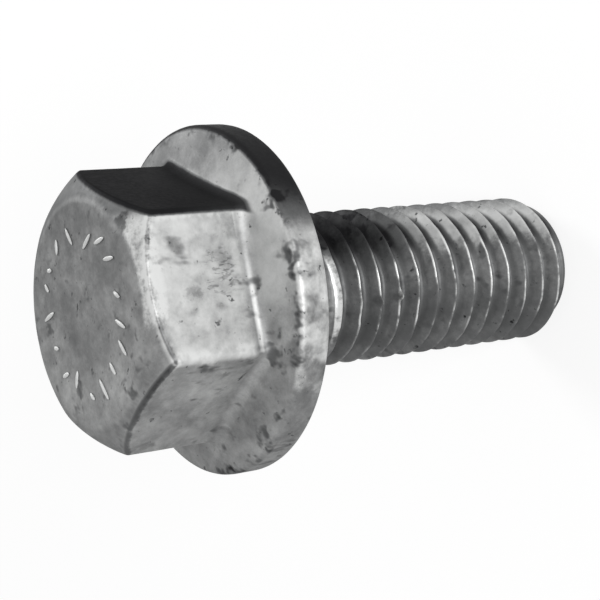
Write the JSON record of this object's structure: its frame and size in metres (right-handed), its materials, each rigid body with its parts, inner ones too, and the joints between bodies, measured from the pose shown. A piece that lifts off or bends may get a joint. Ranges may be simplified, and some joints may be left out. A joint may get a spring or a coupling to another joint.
{
  "type": "flange bolt",
  "caption": "Hexagon head bolt with a round conical flange under the head, a short shank threaded to the head and a chamfered point, in hot-dip galvanised steel.",
  "frame": {"origin": "centre of the flat end face of the thread, on which the bolt stands", "axes": "+Z along the bolt's axis from the thread end to the head; two flats of the hexagon face -Y and +Y, and two of its corners lie on the X axis"},
  "size_m": [0.0272, 0.0272, 0.0446],
  "materials": {
    "galvanised_steel": "matt hot-dip zinc, mottled grey with darker stains"
  },
  "bodies": {
    "root": {"flange_bolt": "galvanised_steel"}
  },
  "joints": []
}
